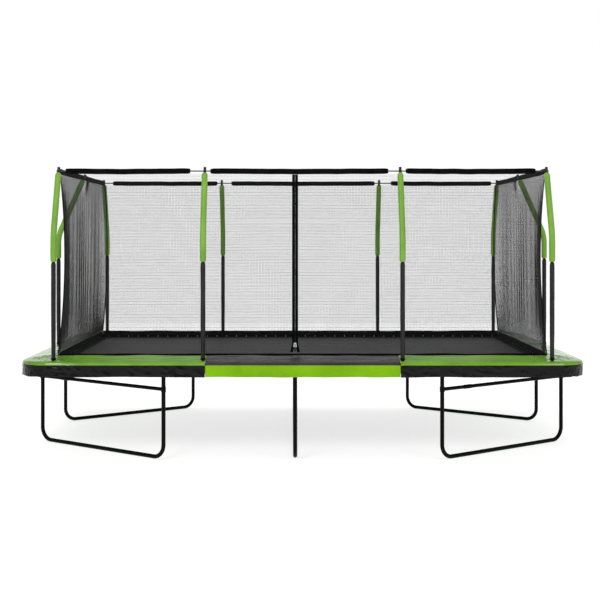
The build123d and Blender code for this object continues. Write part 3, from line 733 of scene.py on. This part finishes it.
# ---- Poles' sleeves and ties
def pole_list():
    """Every pole's foot in plan, the way its top leans, and how far."""
    names = [f"pole_{row}_{number}" for row in LONG_SIDES for number in (1, 2, 3, 4)]
    found = []
    for name in names + ["pole_left", "pole_right"]:
        low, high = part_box(name)
        middle_x, middle_y = (low[0] + high[0]) / 2, (low[1] + high[1]) / 2
        if name in names:
            side = math.copysign(1, middle_y)
            out = max(-low[1], high[1]) - POLE_R
            found.append((np.array((middle_x, side * out)), np.array((0, -side)), out - RING_Y))
        else:
            side = math.copysign(1, middle_x)
            out = max(-low[0], high[0]) - POLE_R
            found.append((np.array((side * out, middle_y)), np.array((-side, 0)), out - RING_X))
    return found


def pole_line(foot, inward, reach, start, stop, step=0.014):
    """Points and directions along a pole's bent middle line between two heights."""
    lean = math.atan2(reach, ROD_Z - POLE_BEND_Z)
    cut = POLE_BEND_R * math.tan(lean / 2)
    points = [(0.0, z, 0.0) for z in np.arange(start, min(stop, POLE_BEND_Z - cut), step)]
    if stop > POLE_BEND_Z:
        for angle in np.linspace(0, lean, 10):
            inset = POLE_BEND_R * (1 - math.cos(angle))
            points.append((inset, POLE_BEND_Z - cut + POLE_BEND_R * math.sin(angle), angle))
        length = (stop - POLE_BEND_Z) / math.cos(lean)
        for along in np.arange(cut + step, length, step):
            points.append((along * math.sin(lean), POLE_BEND_Z + along * math.cos(lean), lean))
    line = []
    for inset, z, angle in points:
        place = np.array((*(foot + inward * inset), z))
        line.append((place, np.array((*(inward * math.sin(angle)), math.cos(angle)))))
    return line


def sleeve(line, radius, seed, crumple, taper=0.0):
    """A soft cover round a pole, creased, with its ends turned in."""
    sides = 20
    rings = []
    for number, (place, way) in enumerate(line):
        side = np.cross(way, (0.3, 0.9, 0.1))
        side /= np.linalg.norm(side)
        other = np.cross(way, side)
        share = number / (len(line) - 1)
        end = min(number, len(line) - 1 - number)
        turned_in = (0.80, 0.95)[end] if end < 2 else 1.0
        base = radius * (1 - taper * max(0, 1 - share * 3)) * turned_in
        ring = []
        for angle in np.linspace(0, 2 * math.pi, sides, endpoint=False):
            out = side * math.cos(angle) + other * math.sin(angle)
            crease = wobble(place * (1, 1, 2.2) + out * 0.02, 0.05, seed)
            dent = wobble(place + out * 0.03, 0.14, seed + 9)
            ring.append(place + out * base * (1 + crumple * (0.6 * crease + 0.5 * dent)))
        rings.append(ring)
    return closed_tube(np.array(rings))


def add_sleeves():
    """Green foam sleeves on the poles' bent tops and black cloth ones below."""
    upper = []
    lower = []
    for number, (foot, inward, reach) in enumerate(pole_list()):
        lean = math.atan2(reach, ROD_Z - POLE_BEND_Z)
        top = ROD_Z - POLE_R * math.cos(lean)
        line = pole_line(foot, inward, reach, SLEEVE_HIGH + 0.003, top)
        upper.append(sleeve(line, FOAM_SLEEVE_R, number, 0.055))
        line = pole_line(foot, inward, reach, SLEEVE_LOW, SLEEVE_HIGH)
        lower.append(sleeve(line, CLOTH_SLEEVE_R, number + 20, 0.075, 0.14))
    for name, parts, node, key, fill in (
        ("foam_sleeve_covers", upper, "foam_sleeves", "sleeve_green", 0.9),
        ("pole_sleeve_covers", lower, "fabric_sleeves", "sleeve_black", 0.7),
    ):
        verts, faces = merge(parts)
        made = make_object(name, verts, faces, [MATERIALS[key]])
        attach(made, "frame")
        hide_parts(node)


def add_pole_ties():
    """An elastic cord wound round each pole's cloth sleeve where it meets the pad."""
    turns = 3
    pitch = 0.0045
    thick = 0.0042
    radius = CLOTH_SLEEVE_R + 0.0003
    around = 20
    parts = []
    for foot, _, _ in pole_list():
        angle = np.linspace(0, 2 * math.pi * turns, turns * around + 1)
        z = SLEEVE_LOW + 0.006 + pitch * angle / (2 * math.pi)
        line = np.stack([foot[0] + radius * np.cos(angle), foot[1] + radius * np.sin(angle), z], axis=-1)
        parts.append(tubes(line[None], (0, 0, 1), thick, thick))
    verts, faces = merge(parts)
    made = make_object("pole_ties", verts, faces, [MATERIALS["webbing"]])
    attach(made, "frame")


# ---- Mat, V-rings and springs
def at_side(side, along, inset, z):
    """A point on one side: along it, in from the rail's inner wall, and up."""
    sign = sum(OUTWARD[side])
    if side in LONG_SIDES:
        return (along, sign * (RAIL_INNER_Y - inset), z)
    return (sign * (RAIL_INNER_X - inset), along, z)


def across_side(side, share, inset, z):
    """A point between one side's two mitre lines, share from -1 to 1."""
    half = RAIL_INNER_X if side in LONG_SIDES else RAIL_INNER_Y
    return at_side(side, share * (half - inset), inset, z)


def blend_side(made):
    """Bakes a piece's placement into its mesh."""
    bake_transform(made)


def add_mat():
    """The mat in five stretches that meet without a gap: a middle, and one mitred stretch a side."""
    thick = MAT_HIGH[2] - MAT_LOW[2]
    top_z = MAT_HIGH[2]
    half_x = RAIL_INNER_X - BLEND_REACH
    half_y = RAIL_INNER_Y - BLEND_REACH
    xs = np.linspace(-half_x, half_x, 60)
    top = np.array([[(x, y, top_z) for x in xs] for y in np.linspace(-half_y, half_y, 16)])
    verts, faces = merge([plate(top, thick)])
    middle = make_object("mat_middle", verts, faces, [MATERIALS["mat"]], smooth=False)
    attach(middle, "mat")
    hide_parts("mat")
    for side in SIDES:
        long_side = side in LONG_SIDES
        shares = np.linspace(-1, 1, 110 if long_side else 60)
        insets = np.linspace(MAT_EDGE, BLEND_REACH, 34)
        top = np.array([[across_side(side, share, inset, top_z) for share in shares] for inset in insets])
        verts, faces = merge([plate(top, thick)])
        piece = make_object(f"mat_{side}", verts, faces, [MATERIALS["mat"]], smooth=False)
        blend_side(piece)
        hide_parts("mat")
        trim = add_mat_edge(side, top_z)


def add_mat_edge(side, top_z):
    """Webbing sewn round the mat's edge with two rows of stitches."""
    rows = []
    for inset, lift in ((-0.001, 0.0008), (0.012, 0.0022), (0.040, 0.0022), (0.052, 0.0008)):
        shares = np.linspace(-1, 1, 160)
        rows.append([across_side(side, share, MAT_EDGE + inset, top_z + lift) for share in shares])
    verts, faces = merge([plate(np.array(rows), 0.0012)])
    band = make_object(f"mat_webbing_{side}", verts, faces, [MATERIALS["webbing"]])
    stitch = (0.0038, 0.0007) if side in LONG_SIDES else (0.0007, 0.0038)
    size = np.array((*stitch, 0.0007))
    half = (RAIL_INNER_X if side in LONG_SIDES else RAIL_INNER_Y) - MAT_EDGE
    count = int(2 * half / 0.012)
    stitches = []
    for inset in (0.010, 0.043):
        for number in range(count):
            share = -1 + 2 * (number + 0.5) / count
            middle = np.array(across_side(side, share, MAT_EDGE + inset, top_z + 0.0026))
            stitches.append(box_points(middle - size, middle + size))
    verts, faces = merge(stitches)
    thread = make_object(f"mat_stitches_{side}", verts, faces, [MATERIALS["thread"]], smooth=False)
    blend_side(band)
    blend_side(thread)
    return [band, thread]


def spring_coil(side, along):
    """A coiled extension spring from the rail to a V-ring, with a straight shank at each end."""
    turns = 34
    around = 8
    radius = 0.0062
    shank = 0.034
    near = 0.004
    far = MAT_EDGE - V_RING_REACH
    start = near + shank
    stop = far - shank
    line = [at_side(side, along, near, MAT_Z), at_side(side, along, start - 0.008, MAT_Z)]
    for k in range(turns * around + 1):
        angle = 2 * math.pi * k / around
        inset = start + (stop - start) * k / (turns * around)
        line.append(at_side(side, along + radius * math.cos(angle), inset, MAT_Z + radius * math.sin(angle)))
    line += [at_side(side, along, stop + 0.008, MAT_Z), at_side(side, along, far + 0.004, MAT_Z)]
    return wire(line, 0.0028)


def v_ring(side, along):
    """A bent-wire V whose two legs are sewn into the mat's edge."""
    far = MAT_EDGE - V_RING_REACH
    leg = [(0.016, MAT_EDGE + 0.010), (0.013, MAT_EDGE - 0.001), (0.003, far + 0.003)]
    line = [at_side(side, along - x, inset, MAT_Z + 0.001) for x, inset in leg]
    line.append(at_side(side, along, far, MAT_Z + 0.001))
    line += [at_side(side, along + x, inset, MAT_Z + 0.001) for x, inset in reversed(leg)]
    return wire(line, 0.0045)


def add_springs():
    """The springs and V-rings of each side."""
    for side in SIDES:
        count = 20 if side in LONG_SIDES else 10
        places = [(k + 0.5) * SPRING_PITCH for k in range(-count, count)]
        kinds = (("spring_coils", spring_coil, "springs"), ("v_ring_wires", v_ring, "v_rings"))
        for name, make, node in kinds:
            verts, faces = merge([make(side, along) for along in places])
            made = make_object(f"{name}_{side}", verts, faces, [MATERIALS["zinc"]])
            blend_side(made)
            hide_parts(node)


# ---- Pads
PAD_DEPTH = 0.311  # from a pad's outer edge to its inner edge
SKIRT_TOP = 0.866  # where the skirt meets the pad's cover
SKIRT_INWARD = 0.0015  # the deepest fold inwards: the leg sockets are close behind
PAD_TOP = [  # in from the outer edge, and height: the cover's upper face
    (0.000, SKIRT_TOP),
    (0.004, 0.8815),
    (0.013, 0.891),
    (0.032, 0.896),
    (0.080, 0.902),
    (0.140, 0.910),
    (0.200, 0.919),
    (0.250, 0.9245),
    (0.285, 0.926),
    (0.303, 0.9235),
    (PAD_DEPTH, 0.914),
]
PAD_UNDER = [  # the lower face, back from the inner edge
    (0.309, 0.902),
    (0.285, 0.8975),
    (0.180, 0.8952),
    (0.070, 0.8928),
    (0.030, 0.892),
    (0.014, 0.8878),
    (0.006, 0.878),
    (0.003, SKIRT_TOP),
]


def pad_section():
    """The pad's closed outline as (in from the edge, height, kind)."""
    skirt_high = SKIRT_TOP - 0.004
    section = [(0.0, z, "skirt") for z in np.linspace(PAD_LOW, skirt_high, 12)]
    fine = [0, 0.002, 0.004, 0.008, 0.013, 0.022, 0.032]
    fine += [*np.linspace(0.045, 0.285, 20), 0.297, 0.305, PAD_DEPTH]
    inset, height = zip(*PAD_TOP)
    section += [(u, float(np.interp(u, inset, height)), "top") for u in fine]
    section += [(u, z, "under") for u, z in PAD_UNDER]
    section += [(0.0026, z, "inside") for z in np.linspace(skirt_high, PAD_LOW, 8)]
    return section


def straight_stations(low, high, fixed, along_x, step=0.012):
    """Stations along a straight edge, each an outer and an inner plan point."""
    inner = fixed - math.copysign(PAD_DEPTH, fixed)
    places = np.linspace(low, high, max(int(abs(high - low) / step), 2))
    if along_x:
        return [((value, fixed), (value, inner)) for value in places]
    return [((fixed, value), (inner, value)) for value in places]


def corner_stations(sx, sy):
    """Stations round a pad's outer corner, which all meet near its inner corner point."""
    centre = np.array((sx * (PAD_X - CORNER_R), sy * (PAD_Y - CORNER_R)))
    inner = np.array((sx * (PAD_X - PAD_DEPTH), sy * (PAD_Y - PAD_DEPTH)))
    stations = []
    for angle in np.linspace(0, math.pi / 2, 40):
        edge = centre + CORNER_R * np.array((sx * math.sin(angle), sy * math.cos(angle)))
        stations.append((tuple(edge), tuple(inner + (edge - inner) * 0.02)))
    return stations


def pad_surface(point, s, u, z, kind, outward, seed):
    """Moves one point of a pad's cover by its folds: swags on the skirt, puffs and creases on top."""
    hang = (SKIRT_TOP - z) / (SKIRT_TOP - PAD_LOW)
    if kind in ("skirt", "inside"):
        # The folds are deepest near the ends of the long sides.
        bunched = 1.3 + 1.2 * math.exp(-(((abs(point[0]) - 2.15) / 0.32) ** 2))
        wave = wobble((s, 0.3 * z, seed), 0.16, seed) * 0.0050 * hang
        crease = wobble((s, z * 1.5, seed), 0.045, seed + 2) * 0.0036 * min(1, hang * 2)
        slant = wobble((s + z * 1.3, z * 1.4 - s * 0.2, seed), 0.065, seed + 4) * 0.0052 * bunched
        push = wave + crease * bunched + slant - 0.002
        point = point + outward * max(push, -SKIRT_INWARD)
        point[2] += 0.006 * wobble((s, 0, seed), 0.30, seed + 6) * hang
    if kind in ("top", "under"):
        point[2] += 0.0060 * wobble((s, 0, seed), 0.30, seed + 8) * (u / PAD_DEPTH) ** 2
    if kind == "top":
        soft = math.sin(math.pi * min(u / 0.30, 1))
        puff = wobble((point[0], point[1], 0), 0.22, seed + 1) * 0.0060
        fold = wobble((s * 0.5, u * 3.0, seed), 0.09, seed + 3) * 0.0050
        cross = wobble((s * 3.0, u * 0.8, seed), 0.10, seed + 5) * 0.0026
        point[2] += soft * (puff + fold + cross + 0.003)
        point[2] -= 0.0018 * math.exp(-abs(u - 0.004) / 0.02) * abs(wobble((s, 0, 0), 0.05, seed + 7))
    return point


def pad_cover(name, stations, top_material, skirt_material, seed, node):
    """A foam pad in a vinyl cover with a hanging skirt."""
    section = pad_section()
    rings = []
    for number, (edge, inner) in enumerate(stations):
        outward = np.array((edge[0] - inner[0], edge[1] - inner[1], 0.0))
        span = outward / PAD_DEPTH
        outward = outward / np.linalg.norm(outward)
        along = np.array((-outward[1], outward[0], 0.0))
        end = min(number, len(stations) - 1 - number)
        tuck = (0.0022, 0.0008)[end] if end < 2 else 0.0
        ring = []
        for u, z, kind in section:
            point = np.array((edge[0], edge[1], z - (tuck if kind == "top" else 0))) - span * u
            ring.append(pad_surface(point, float(point @ along), u, z, kind, outward, seed))
        rings.append(ring)
    verts, faces = merge([closed_tube(np.array(rings))])
    faces_of = {"top": 0, "under": 0, "skirt": 1, "inside": 2}
    indices = [faces_of[kind] for _, _, kind in section] * (len(rings) - 1) + [0, 0]
    materials = [top_material, skirt_material, MATERIALS["lining"]]
    made = make_object(name, verts, faces, materials, indices=indices)
    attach(made, "frame")
    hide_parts(node)


def add_pads():
    """Six pads: black with a green skirt in the middle, green with a black one round the corners."""
    for sy, row in ((-1, "front"), (1, "back")):
        stations = straight_stations(-PAD_JOINT_X, PAD_JOINT_X, sy * PAD_Y, True)
        top, skirt = MATERIALS["pad_black_top"], MATERIALS["skirt_green"]
        node = f"pad_{row}_middle"
        pad_cover(f"{node}_cover", stations, top, skirt, 11 + sy, node)
    for sx, column in ((-1, "left"), (1, "right")):
        for sy, row in ((-1, "front"), (1, "back")):
            turn_x = sx * (PAD_X - PAD_DEPTH)
            turn_y = sy * (PAD_Y - PAD_DEPTH)
            long_side = straight_stations(sx * (PAD_JOINT_X + 0.003), turn_x, sy * PAD_Y, True)
            short_side = straight_stations(turn_y, sy * 0.0015, sx * PAD_X, False)
            stations = long_side[:-1] + corner_stations(sx, sy) + short_side[1:]
            top, skirt = MATERIALS["pad_green_top"], MATERIALS["skirt_black"]
            node = f"pad_{row}_{column}"
            pad_cover(f"{node}_cover", stations, top, skirt, 20 + 3 * sx + sy, node)


# ---- Materials on the carried-over metal and plastic pieces
def paint_frame():
    """Each CAD piece that stays in sight takes its own material."""
    other = {
        "bolts": "zinc",
        "net_hooks": "zinc",
        "zip_slider": "zinc",
        "zip_pull": "plastic",
        "pole_caps": "plastic",
        "top_rods": "rod",
    }
    for node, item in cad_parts.items():
        if item.hide_render:
            continue
        item.data.materials.clear()
        item.data.materials.append(MATERIALS[other.get(node, "steel")])


MATERIALS = {
    "steel": powder_coat(),
    "zinc": zinc(),
    "webbing": webbing(),
    "net": net_yarn(),
    "mat": mat_cloth(),
    "thread": plastic("stitch_thread", (0.10, 0.10, 0.10), 0.7),
    "plastic": plastic("black_plastic", (0.008, 0.008, 0.008)),
    "teeth": plastic("zip_teeth", (0.003, 0.003, 0.003), 0.8),
    "rod": plastic("fibreglass_rod", (0.02, 0.02, 0.02), 0.35),
    "sleeve_green": vinyl("sleeve_green", (0.150, 0.330, 0.030), (0.205, 0.410, 0.045), 0.30),
    "sleeve_black": vinyl("sleeve_black", (0.004, 0.004, 0.004), (0.012, 0.012, 0.011), 0.30),
    "pad_green_top": vinyl(
        "pad_green_top", (0.110, 0.280, 0.006), (0.160, 0.380, 0.010), 0.34, (0.36, 0.40), 0.04, True
    ),
    "skirt_green": vinyl("skirt_green", (0.160, 0.370, 0.003), (0.210, 0.460, 0.004), 0.10),
    "pad_black_top": vinyl("pad_black_top", (0.010, 0.009, 0.009), (0.024, 0.022, 0.021), 0.36),
    "skirt_black": vinyl(
        "skirt_black", (0.0005, 0.0005, 0.0005), (0.002, 0.002, 0.0018), 0.20, (0.12, 0.20), 0.08
    ),
    "lining": vinyl("lining", (0.004, 0.004, 0.004), (0.008, 0.008, 0.008), 0.05, (0.6, 0.8)),
}

add_camera()
add_light()
add_studio()
add_nets()
add_corner_bindings()
add_border()
add_hems()
add_door()
add_sleeves()
add_pole_ties()
add_mat()
add_springs()
add_pads()
paint_frame()
